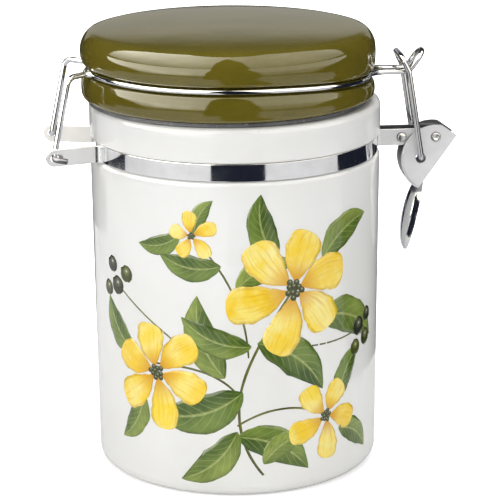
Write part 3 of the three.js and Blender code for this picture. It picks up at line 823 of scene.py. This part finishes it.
WHITE_GLAZE = white_glaze()
OLIVE_GLAZE = olive_glaze()
RUBBER = gasket_rubber()
WIRE_STEEL = steel("wire_steel", (0.70, 0.71, 0.74), (0.025, 0.05), 900.0, None, 0.000004, dark_steel_share=hook_ends)
STRAP_STEEL = steel(
    "strap_steel", (0.86, 0.86, 0.87), (0.03, 0.07), 260.0, (1, 1, 14), 0.000002, bent_out, strap_insides_shade)
LEVER_STEEL = steel(
    "lever_steel", (0.74, 0.75, 0.78), (0.04, 0.08), 300.0, (1, 10, 1), 0.000002, cheek_sides, channel_shade)
RIVET_STEEL = steel("rivet_steel", (0.60, 0.60, 0.61), (0.16, 0.26), 400.0, None, 0.000006, dark_steel_share=rivet_feet_grime_and_shade)


def turned(name, profile, finish, steps=192, centre=0.0):
    piece = new_piece(name, [(r, 0, z) for r, z in profile])
    return face_out(grown(piece, turn_profile, steps=steps, centre_x=centre * MM, material=finish))


def hang(piece, body, slot, *nodes):
    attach(piece, body)
    if nodes:
        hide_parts(*nodes)


def make_jar():
    fillet, inset = 0.3, 0.06
    bore_base = BORE_RADIUS - 1.0
    profile = [
        (0, 0), (15, 0), (30, 0),
        *arc(BASE_RADIUS - BASE_ROUND, BASE_ROUND, BASE_ROUND, -90, 0, 7.5),
        *zip(np.linspace(BASE_RADIUS, JAR_RADIUS, 25)[1:-1], np.linspace(BASE_ROUND, WALL_TOP, 25)[1:-1]),
        *arc(JAR_RADIUS - SHOULDER_ROUND, WALL_TOP, SHOULDER_ROUND, 0, 90, 10),
        (NECK_RADIUS + fillet, SHOULDER_Z), (NECK_RADIUS + inset, SHOULDER_Z + inset),
        (NECK_RADIUS, SHOULDER_Z + fillet), (NECK_RADIUS, GROOVE_TOP_Z - fillet),
        (NECK_RADIUS + inset, GROOVE_TOP_Z - inset), (NECK_RADIUS + fillet, GROOVE_TOP_Z),
        *arc(RIM_RADIUS - 1, GROOVE_TOP_Z + 1, 1, -90, 0, 10),
        (RIM_RADIUS, 120.0), (RIM_RADIUS, 123.0),
        *arc(RIM_RADIUS - 2, RIM_Z - 2, 2, 0, 90, 10),
        *arc(BORE_RADIUS + 1.5, RIM_Z - 1.5, 1.5, 90, 180, 10),
        (BORE_RADIUS - 0.3, 90), (BORE_RADIUS - 0.65, 50),
        *arc(bore_base - 4, FLOOR_Z + 4, 4, 0, -90, 10),
        (20, FLOOR_Z), (0, FLOOR_Z),
    ]
    hang(turned("jar_glazed", profile, WHITE_GLAZE), "jar", "white_glaze", "jar")


def make_lid():
    """The sides' points are shares of a tier's height: inwards from the widest place, and up."""
    lower_side = [(0.147, 0.034), (0.068, 0.124), (0.034, 0.24), (0.023, 0.5), (0.036, 0.7), (0.066, 0.84),
                  (0.104, 0.94), (0.155, 0.991)]
    upper_side = [(0.135, 0.014), (0.06, 0.083), (0.014, 0.2), (0, 0.42), (0.03, 0.615), (0.115, 0.806),
                  (0.229, 0.948), (0.33, 1)]
    upper = LID_Z + LOWER_TIER + 2 * GROOVE_HALF
    mouth = RING_RADIUS - WIRE / 2 - 0.3 + GROOVE_HALF
    roof = LID_TOP + LID_CROWN - 7
    plug_end = RIM_Z - 3.6
    under = [
        (0, roof), (18, roof),
        *arc(30.5, roof - 5, 5, 90, 0, 10),
        *arc(36.0, plug_end, 0.5, 180, 270, 30),
        *arc(PLUG_RADIUS - 0.5, plug_end, 0.5, -90, 0, 30),
        (PLUG_RADIUS, LID_Z - 0.3), (PLUG_RADIUS + 0.3, LID_Z), (44, LID_Z), (LID_RADIUS - 2.6, LID_Z),
    ]
    outer = smooth_line([
        (LID_RADIUS - 2.3, LID_Z),
        *[(LID_RADIUS - LOWER_TIER * inwards, LID_Z + LOWER_TIER * up) for inwards, up in lower_side],
        *arc(mouth, RING_Z, GROOVE_HALF, 260, 100, 20),
        *[(LID_RADIUS - UPPER_TIER * inwards, upper + UPPER_TIER * up) for inwards, up in upper_side],
        (LID_RADIUS - UPPER_TIER * 0.65, LID_TOP + LID_CROWN * 0.3),
        (LID_RADIUS * 0.6, LID_TOP + LID_CROWN * 0.7),
        (LID_RADIUS * 0.25, LID_TOP + LID_CROWN * 0.96),
        (0, LID_TOP + LID_CROWN),
    ], 5)
    lid = turned("lid_glazed", [*under, *outer], OLIVE_GLAZE, centre=LID_X)
    fade = upper + UPPER_TIER * 0.6
    places = np.empty(len(lid.data.vertices) * 3)
    lid.data.vertices.foreach_get("co", places)
    x, y, z = places.reshape(-1, 3).T / MM
    share = np.minimum(np.minimum(1, (z - LID_Z) / LOWER_TIER), (fade - z) / (fade - upper))
    share[np.hypot(x - LID_X, y) < PLUG_RADIUS + 0.1] = 0
    z = z - droop(x) * np.maximum(0, share)
    lid.data.vertices.foreach_set("co", (np.stack([x, y, z], 1) * MM).ravel())
    lid.data.update()
    hang(lid, "lid", "olive_glaze", "lid")


def make_gasket():
    inner, outer, edge, ease, nick = 39.5, 48.35, 0.35, 0.2, 0.14
    middle = (GASKET_LOW + GASKET_HIGH) / 2
    profile = [
        (inner, GASKET_LOW + ease), (inner + ease, GASKET_LOW), (44, GASKET_LOW),
        *arc(outer - edge, GASKET_LOW + edge, edge, -90, 0, 18),
        (outer, middle - 0.16), (outer - nick, middle), (outer, middle + 0.16),
        *arc(outer - edge, GASKET_HIGH - edge, edge, 0, 90, 18),
        (44, GASKET_HIGH), (inner + ease, GASKET_HIGH), (inner, GASKET_HIGH - ease),
        (inner, GASKET_LOW + ease),
    ]
    hang(turned("gasket_ring", profile, RUBBER, centre=LID_X), "lid", "gasket_rubber", "lid_gasket")


def wire_piece(name, corners, body):
    """A wire of one length: the corners run to the middle and are mirrored front to back."""
    back = [((x, -y, z), bend) for (x, y, z), bend in reversed(corners)]
    line = bent_line([*corners, *back])
    first, last = (line[0] - line[1]).normalized(), (line[-1] - line[-2]).normalized()
    from_end, soft = (0.0, 0.08, 0.2, 0.35), (0.70, 0.86, 0.96, 1.0)
    start = [line[0] - first * d for d in from_end]
    end = [line[-1] - last * d for d in reversed(from_end)]
    points = start + line[1:-1] + end
    girths = [*soft, *[1.0] * (len(line) - 2), *reversed(soft)]
    edges = [(i, i + 1) for i in range(len(points) - 1)]
    piece = new_piece(name, points, edges=edges, attributes={"girth": girths})
    grown(piece, draw_wire, diameter=WIRE * MM, sides=28, material=WIRE_STEEL)
    hang(keep_creases(face_out(piece), 50), body, "steel", name.replace("_drawn", ""))


def make_wires():
    tilt = math.radians(HOOK_TILT)
    entry_y = 10
    entry_x = LID_X - math.sqrt(RING_RADIUS ** 2 - entry_y ** 2)
    nose_root_x = LID_X + math.sqrt(RING_RADIUS ** 2 - NOSE_HALF ** 2)
    nose_z = RING_Z - WIRE_DROOP
    start = 180 + math.degrees(math.asin(15.2 / RING_RADIUS))
    end = 360 - math.degrees(math.asin(12.1 / RING_RADIUS))
    wire_piece("lid_wire_drawn", [
        ((HINGE_X + HOOK_LENGTH * math.cos(tilt), -HOOK_Y, STRAP_Z - HOOK_LENGTH * math.sin(tilt)), 0),
        ((HINGE_X, -HOOK_Y, STRAP_Z), 1.6),
        ((HINGE_X, -LEG_Y, STRAP_Z), 1.6),
        ((HINGE_X + LEG_LEAN, -LEG_Y, RING_Z), 3.2),
        ((entry_x, -entry_y, RING_Z), 2.6),
        *[((x, y, RING_Z - droop(x)), 0) for x, y in arc(LID_X, 0, RING_RADIUS, start, end, 1.5)],
        ((nose_root_x, -NOSE_HALF, nose_z), 8),
        ((NOSE_X, -NOSE_HALF, nose_z), 3),
        ((NOSE_TIP_X, -NOSE_HALF, nose_z + NOSE_RISE), NOSE_HALF * 0.98),
    ], "lid")
    wire_piece("closing_wire_drawn", [
        ((EYE_X, -2.9, EYE_Z), 0),
        ((EYE_X, -CLOSING_Y, EYE_Z), 1.3),
        ((CLOSING_KNEE[0], -CLOSING_Y, CLOSING_KNEE[1]), 6),
        ((CLOSING_TOP[0], -CLOSING_Y, CLOSING_TOP[1]), 2.6),
    ], "closing_wire")


def swept_band(path, half_heights, sheet):
    """Closed band mesh: a rounded upright section carried along a line in plan."""
    points = []
    edge_round = 0.14
    plan = np.array([(p[0], p[1]) for p in path])
    step = np.gradient(plan, axis=0)
    step /= np.linalg.norm(step, axis=1)[:, None]
    for (px, py), (dx, dy), half in zip(plan, step, half_heights):
        soft = min(edge_round, half * 0.4)
        ring = []
        for side, top in ((1, 1), (-1, 1), (-1, -1), (1, -1)):
            corner = [(sheet / 2, half - soft * 1.5)]
            corner += [(sheet / 2 - soft + soft * math.cos(a), half - soft + soft * math.sin(a))
                       for a in np.radians((0, 30, 60, 90))]
            corner = [(side * out, top * z) for out, z in corner]
            ring += corner if side * top > 0 else corner[::-1]
        points += [(px - dy * out, py + dx * out, STRAP_Z + z) for out, z in ring]
    return points, tube_faces(len(plan), len(ring))


def drill(obj, holes):
    """Cuts round holes along Y: each is (x, z, radius)."""
    cutters = []
    sides, reach = 48, 60
    for x, z, radius in holes:
        ring = [(x + radius * math.cos(a), y, z + radius * math.sin(a))
                for y in (-reach, reach) for a in np.linspace(0, 2 * math.pi, sides, endpoint=False)]
        cutter = face_out(new_piece("drill", ring, faces=tube_faces(2, sides)))
        cutters.append(cutter)
        cut = obj.modifiers.new("hole", "BOOLEAN")
        cut.operation = "DIFFERENCE"
        cut.solver = "EXACT"
        cut.object = cutter
    plain_mesh(obj)
    for cutter in cutters:
        bpy.data.objects.remove(cutter)


def make_strap(name, side):
    splay = math.radians(EAR_SPLAY)
    inward = Vector((math.cos(splay), math.sin(splay), 0))
    ear = Vector((HINGE_X, -EAR_Y, 0))
    along = ear.dot(inward)
    reach = -along - math.sqrt(along ** 2 - ear.length_squared + STRAP_RADIUS ** 2)
    root = ear + inward * reach
    arm_root = Vector((math.sqrt(STRAP_RADIUS ** 2 - ARM_Y ** 2), -ARM_Y, 0))
    start = 180 + math.degrees(math.asin(-root.y / STRAP_RADIUS))
    end = 360 - math.degrees(math.asin(ARM_Y / STRAP_RADIUS))
    ring = [((x, y, 0), 0) for x, y in arc(0, 0, STRAP_RADIUS, start + 5, end - 4, 1.5)]
    pivot = Vector((PIVOT_X, -ARM_Y, 0))
    middle = bent_line([(ear + inward * 0.5, 0), (root, 3.0), *ring, (arm_root, 1.6),
                        (pivot - Vector((0.5, 0, 0)), 0)])
    round_end = np.linspace(math.pi / 2, 0.02, 22)
    fan = [STRAP_HALF * math.sin(a) for a in round_end]
    tip = [ear - inward * (STRAP_HALF * math.cos(a)) for a in round_end]
    far = [pivot + Vector((STRAP_HALF * math.cos(a), 0, 0)) for a in round_end]
    path = [*reversed(tip), *middle, *far]
    halves = [*reversed(fan), *[STRAP_HALF] * len(middle), *fan]
    points, faces = swept_band(path, halves, STRAP_SHEET)
    strap = face_out(new_piece(name, [(x, y * side, z) for x, y, z in points], faces=faces))
    drill(strap, [
        (HINGE_X, STRAP_Z, HINGE_HOLE), (TIE_X, STRAP_Z, RIVET_HOLE), (PIVOT_X, STRAP_Z, RIVET_HOLE)])
    strap.data.shade_smooth()
    strap.data.materials.append(STRAP_STEEL)
    hang(keep_creases(strap), "jar", "steel", name.replace("_bent", ""))


def make_rivet(name, grip, hollow, x):
    """A rivet across the bracket: turned upright, then laid along Y."""
    seat = grip / 2 + 0.15
    top = seat + 0.7
    head = 1.7
    if hollow:
        face = [(1, seat + 0.05), (0.98, seat + 0.3), (0.8, top - 0.04), (0.62, top), (0.47, top - 0.12),
                (0.36, top - 0.42), (0, top - 0.46)]
    else:
        face = [(1, seat + 0.05), (0.97, seat + 0.2), (0.8, seat + 0.48), (0.4, top - 0.05), (0, top)]
    curve = smooth_line([(head * share, z) for share, z in face], 3 if hollow else 4)
    half = [(1.0, seat - 0.05), (1.05, seat), (head - 0.1, seat), *curve]
    profile = [(r, -z) for r, z in reversed(half)] + half
    rivet = turned(name, profile, RIVET_STEEL, steps=48)
    lay_along_y(rivet, x)
    hang(keep_creases(rivet), "jar", "steel", name.replace("_pressed", ""))


def lay_along_y(obj, x):
    laid = Matrix.Rotation(math.radians(-90), 4, "X")
    obj.data.transform(Matrix.Translation((x * MM, 0, STRAP_Z * MM)) @ laid)


def make_spacer():
    inner, outer, half, ease, edge = RIVET_HOLE, 1.9, 2.65, 0.1, 0.15
    upper = [(inner, half - ease), (inner + ease, half), (outer - edge, half), (outer, half - edge)]
    profile = [*[(r, -z) for r, z in upper], *reversed(upper), (inner, ease - half)]
    spacer = turned("tie_spacer_rolled", profile, STRAP_STEEL, steps=48)
    lay_along_y(spacer, TIE_X)
    hang(keep_creases(spacer), "jar", "steel", "tie_spacer")


def make_lever():
    inset, trim, fold_round, edge_round = 1.2, 1.2, 0.9, 0.26
    cos, sin = math.cos(OPEN_EDGE), math.sin(OPEN_EDGE)

    def place(u, v):
        return PIVOT_X + u * cos - v * sin, CHEEK_Z + u * sin + v * cos

    tip_u = -math.sqrt(CHEEK_RADIUS ** 2 - inset ** 2)
    end_u = CHEEK_RADIUS - trim
    end_v = math.sqrt(CHEEK_RADIUS ** 2 - end_u ** 2)
    slope = math.degrees(OPEN_EDGE)
    tip_angle = slope + 180 + math.degrees(math.asin(inset / CHEEK_RADIUS))
    end_angle = slope + math.degrees(math.atan2(end_v, end_u))
    web_angle = 180 - math.degrees(math.asin((CHEEK_RADIUS - 4.2 - STRAP_HALF - 0.8) / CHEEK_RADIUS))
    open_arc = arc(PIVOT_X, CHEEK_Z, CHEEK_RADIUS, end_angle, web_angle, 3)
    web_arc = arc(PIVOT_X, CHEEK_Z, CHEEK_RADIUS, web_angle, tip_angle, 3)
    outline = [place(end_u, -inset), *open_arc[:-1], *web_arc]
    count = len(outline)
    points = [(x, y, z) for y in (-CHEEK_OUTER, CHEEK_OUTER) for x, z in outline]
    first_web = count - len(web_arc)
    faces = [tuple(range(count - 1, -1, -1)), tuple(range(count, 2 * count))]
    faces += [(k, k + 1, count + k + 1, count + k) for k in range(first_web, count - 1)]
    lever = face_out(new_piece("lever_stamped", points, faces=faces))

    def round_folds(mesh):
        folds = [e for e in mesh.edges
                 if len(e.link_faces) == 2 and abs(e.verts[0].co.y - e.verts[1].co.y) < 1e-7]
        bmesh.ops.bevel(mesh, geom=folds, offset=fold_round * MM, segments=5, profile=0.5, affect="EDGES")

    edited(lever, round_folds)
    worked(lever, "SOLIDIFY", thickness=LEVER_SHEET * MM, offset=-1, use_even_offset=True)
    drill(lever, [(PIVOT_X, STRAP_Z, RIVET_HOLE), (EYE_X + 0.07, EYE_Z - 0.49, EYE_HOLE)])
    worked(lever, "BEVEL", width=edge_round * MM, segments=3, limit_method="ANGLE",
           angle_limit=math.radians(50))
    join_tongue(lever, place(tip_u, -inset))
    lever.data.shade_smooth()
    lever.data.materials.append(LEVER_STEEL)
    hang(worked(keep_creases(lever), "WEIGHTED_NORMAL", keep_sharp=True), "lever", "steel", "lever")


def join_tongue(lever, tip):
    """Adds the dished finger tongue below the channel's tip."""
    length, root, wide, deep, lip, full = 23.4, 3.6, 10.4, 3.8, 0.25, 0.68
    half = (length + root) / 2
    lean = math.radians(12.5)
    middle = half - root
    cx = tip[0] + 1.6 - middle * math.sin(lean)
    cz = tip[1] - middle * math.cos(lean)
    points = []
    rows, cols = 40, 20
    for shell in (0.0, LEVER_SHEET):
        d, w, h = deep - shell, wide / 2 - shell, half - shell
        for i in range(rows + 1):
            a = math.pi * (i / rows) * 0.998 + 0.001 * math.pi
            for j in range(cols + 1):
                b = math.pi * j / cols
                x = -d * math.sin(a) * math.sin(b) ** full + (lip if j in (0, cols) else 0)
                y = w * math.sin(a) * math.copysign(abs(math.cos(b)) ** full, math.cos(b))
                z = h * math.cos(a)
                points.append((cx + x * math.cos(lean) + z * math.sin(lean), y,
                               cz - x * math.sin(lean) + z * math.cos(lean)))
    grid = np.arange((rows + 1) * (cols + 1)).reshape(rows + 1, cols + 1)
    outside = quads(rows + 1, cols + 1)
    faces = outside + [tuple(k + grid.size for k in face) for face in outside]
    for rim in (grid[:, 0], grid[:, -1], grid[0], grid[-1]):
        pairs = zip(rim.tolist(), rim[1:].tolist())
        faces += [(a, a + grid.size, b + grid.size, b) for a, b in pairs]
    tongue = face_out(new_piece("tongue", points, faces=faces))
    edited(lever, lambda mesh: mesh.from_mesh(tongue.data))
    bpy.data.objects.remove(tongue)


INK_FILM = 0.00002
PRINT_INKS = {
    "stems": printed("stem_ink", stem_paint),
    "leaves": printed("leaf_ink", leaf_paint),
    "petals": printed("petal_ink", petal_paint),
    "berries": printed("berry_ink", berry_paint),
}


def make_print():
    """A loose spray of yellow blossoms on the jar's wall. Places are millimetres round the wall and up it."""
    strokes = {kind: [] for kind in PRINT_INKS}
    draft = (JAR_RADIUS - BASE_RADIUS) / (WALL_TOP - BASE_ROUND)

    def stroke(kind, start, bend, end, breadth, root, tip, layer, tint):
        strokes[kind].append((start, bend, end, breadth, root, tip, layer, tint))

    def heading(degrees):
        a = math.radians(degrees)
        return np.array((math.cos(a), math.sin(a))), np.array((-math.sin(a), math.cos(a)))

    def leaf(x, z, angle, length, breadth, layer, tint):
        along, side = heading(angle)
        start = np.array((x, z))
        bend = start + along * length * 0.5 + side * length * 0.24
        stroke("leaves", start, bend, start + along * length, breadth, 0.75, 0.95, layer, tint)

    def blossom(x, z, size, petals, turn, layer):
        for k in range(petals):
            along, side = heading(turn + 360 * k / petals)
            centre = np.array((x, z))
            reach = size * (0.5 + 0.05 * math.sin(5 * k + turn))
            start = centre + along * size * 0.05
            bend = centre + along * reach * 0.5 + side * size * 0.05
            tint = (k * 0.37 + turn * 0.01) % 1
            stroke("petals", start, bend, centre + along * reach, size * 0.31, 1.0, 0.38,
                   layer + 0.25 * (k % 2), tint)
        for k in range(11):
            a, away = 2.4 * k + turn, size * 0.022 * math.sqrt(k)
            berry(x + away * math.cos(a), z + away * math.sin(a), size * 0.05,
                  layer + 1.0 + 0.1 * (k % 3), 0.55)

    def berry(x, z, size, layer, tint):
        half = heading(35)[0] * size / 2
        centre = np.array((x, z))
        stroke("berries", centre - half, centre, centre + half, size, 0.5, 0.5, layer, tint)

    def stem(points, breadth, layer):
        for a, b, c in zip(points[::2], points[1::2], points[2::2]):
            stroke("stems", np.array(a), np.array(b), np.array(c), breadth, 0.06, 0.06, layer, 0.5)

    stem([(4, 8), (-6, 20), (-4, 36), (-2, 50), (14, 72)], 0.95, 0)
    stem([(-4, 36), (-12, 48), (-34, 46)], 0.75, 0)
    stem([(-5, 26), (10, 36), (27, 27)], 0.75, 0)
    stem([(-1, 50), (-2, 74), (-19, 91)], 0.7, 0)
    stem([(2, 55), (24, 50), (43, 53)], 0.6, 0)
    stem([(-14, 47), (-38, 62), (-51, 70)], 0.6, 0)
    blossom(15, 73, 44, 6, 12, 4)
    blossom(-34, 43, 37, 6, 38, 4)
    blossom(28, 26, 29, 5, 55, 4)
    blossom(-20, 92, 17, 5, 20, 4)
    for row in [(-3, 38, 196, 33, 14, 1, 0.2), (-5, 24, 222, 27, 11, 1, 0.65), (-5, 22, -28, 29, 12, 1, 0.35),
                (-9, 43, 108, 30, 12, 1, 0.75), (0, 54, 158, 26, 10, 2, 0.45), (2, 55, -38, 31, 13, 1, 0.15),
                (24, 62, -24, 33, 13, 2, 0.55), (26, 82, 28, 25, 11, 2, 0.8), (9, 84, 104, 23, 10, 2, 0.3),
                (-5, 74, 22, 22, 9, 1, 0.9), (-10, 82, 172, 22, 9, 1, 0.25), (-19, 92, 62, 14, 6, 2, 0.6),
                (-24, 92, 196, 17, 7, 2, 0.4), (-44, 48, 128, 22, 10, 2, 0.35), (-40, 34, 238, 21, 9, 2, 0.7),
                (34, 30, 58, 21, 9, 2, 0.2), (34, 20, -34, 20, 9, 2, 0.5), (4, 12, 30, 19, 8, 1, 0.85)]:
        leaf(*row)
    for row in [(45, 54, 6.6, 2, 0.15), (50, 49, 6.0, 2.3, 0.6), (43, 47, 5.6, 2.6, 0.85),
                (51, 57, 5.2, 2.9, 0.3), (-52, 70, 6.6, 2, 0.2), (-47, 75, 6.0, 2.3, 0.75),
                (-55, 77, 5.6, 2.6, 0.1), (-58, 68, 5.4, 2.9, 0.5)]:
        berry(*row)
    for kind, rows in strokes.items():
        start, bend, end, breadth, root, tip, layer, tint = zip(*rows)
        flat = np.zeros(len(rows))
        piece = new_piece("print_" + kind, np.zeros((len(rows), 3)), attributes={
            "start": np.column_stack([start, layer]) * MM, "bend": np.column_stack([bend, flat]) * MM,
            "end": np.column_stack([end, flat]) * MM, "root": root, "tip": tip, "tint": tint,
            "breadth": [norm_breadth(*row) * MM for row in zip(breadth, root, tip)]})
        grown(piece, wrap_print, wall_radius=JAR_RADIUS * MM, wall_height=WALL_TOP * MM, wall_draft=draft,
              lift=INK_FILM, along=21, across=9, material=PRINT_INKS[kind])
        hang(worked(face_out(piece), "SOLIDIFY", thickness=INK_FILM, offset=-1), "jar", "white_glaze")


def norm_breadth(breadth, root, tip):
    """Half width that makes a stroke as broad as asked at its fullest place."""
    full = root / (root + tip)
    return breadth / 2 / (full ** root * (1 - full) ** tip)


make_jar()
make_print()
make_lid()
make_gasket()
make_wires()
make_strap("strap_front_bent", 1)
make_strap("strap_back_bent", -1)
make_rivet("tie_rivet_pressed", 7.0, False, TIE_X)
make_rivet("lever_rivet_pressed", 9.2, True, PIVOT_X)
make_spacer()
make_lever()
